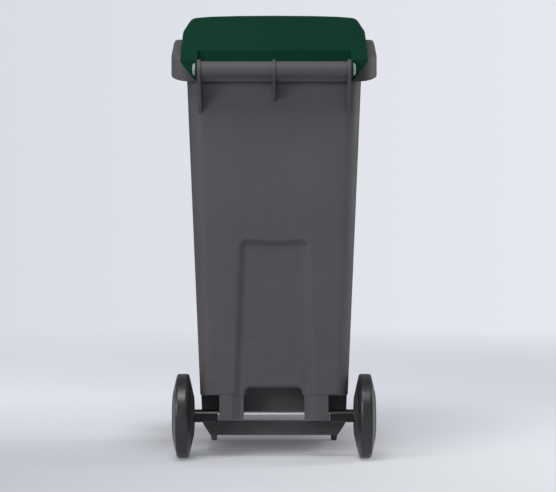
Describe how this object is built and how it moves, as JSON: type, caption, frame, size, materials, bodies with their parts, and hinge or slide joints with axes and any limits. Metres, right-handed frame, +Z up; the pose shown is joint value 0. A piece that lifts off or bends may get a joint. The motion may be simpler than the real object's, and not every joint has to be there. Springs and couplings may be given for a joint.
{
  "type": "wheeled refuse bin",
  "caption": "Wheeled plastic refuse bin: tapered tub with a rim collar and rear handle, a domed lid on hinge pins, and snap-locked wheels on a steel axle.",
  "frame": {"origin": "on the ground at the centre of the bounding box", "axes": "+Z up, the bin's front faces -Y, its handle and wheels are at +Y, +X is the left hand of a person who pulls it"},
  "size_m": [0.4892, 0.55, 1.067],
  "materials": {
    "body_grey": "satin injection-moulded HDPE with a fine grain",
    "lid_green": "satin injection-moulded HDPE",
    "pin_plastic": "smooth moulded plastic",
    "rubber": "matte",
    "galvanised": "zinc-plated",
    "spring_steel": "bright",
    "tyre": "matte solid rubber",
    "wheel_plastic": "satin moulded plastic",
    "black_plastic": "satin moulded plastic",
    "nylon": "natural nylon"
  },
  "bodies": {
    "bin": {"bin_body": "body_grey", "hinge_pin_left": "pin_plastic", "hinge_pin_right": "pin_plastic", "rim_buffer_front_left": "rubber", "rim_buffer_middle_left": "rubber", "rim_buffer_front_right": "rubber", "rim_buffer_middle_right": "rubber", "axle": "galvanised", "axle_sleeve_left": "black_plastic", "axle_sleeve_right": "black_plastic"},
    "lid": {"lid": "lid_green"},
    "wheel_left": {"tyre_left": "tyre", "wheel_rim_left": "wheel_plastic", "hub_bush_inner_left": "nylon", "hub_bush_outer_left": "nylon", "hub_cap_left": "black_plastic", "lock_plug_left": "black_plastic", "lock_spring_left": "spring_steel"},
    "wheel_right": {"tyre_right": "tyre", "wheel_rim_right": "wheel_plastic", "hub_bush_inner_right": "nylon", "hub_bush_outer_right": "nylon", "hub_cap_right": "black_plastic", "lock_plug_right": "black_plastic", "lock_spring_right": "spring_steel"},
    "lock_left": {"lock_pin_left": "spring_steel"},
    "lock_right": {"lock_pin_right": "spring_steel"}
  },
  "joints": [
    {"name": "lid_hinge", "type": "hinge", "parent": "bin", "child": "lid", "pos_m": [0, 0.2522, 0.9185], "axis": [-1, 0, 0], "range_deg": [0, 239]},
    {"name": "wheel_left_spin", "type": "hinge", "parent": "bin", "child": "wheel_left", "pos_m": [0.217, 0.165, 0.1], "axis": [1, 0, 0], "continuous": true},
    {"name": "wheel_right_spin", "type": "hinge", "parent": "bin", "child": "wheel_right", "pos_m": [-0.217, 0.165, 0.1], "axis": [1, 0, 0], "continuous": true},
    {"name": "lock_left_slide", "type": "slide", "parent": "wheel_left", "child": "lock_left", "axis": [0, 0, 1], "range_m": [0, 0.004], "stiffness_N_per_m": 500, "springref_m": -0.002, "deforming": ["lock_spring_left"]},
    {"name": "lock_right_slide", "type": "slide", "parent": "wheel_right", "child": "lock_right", "axis": [0, 0, 1], "range_m": [0, 0.004], "stiffness_N_per_m": 500, "springref_m": -0.002, "deforming": ["lock_spring_right"]}
  ]
}
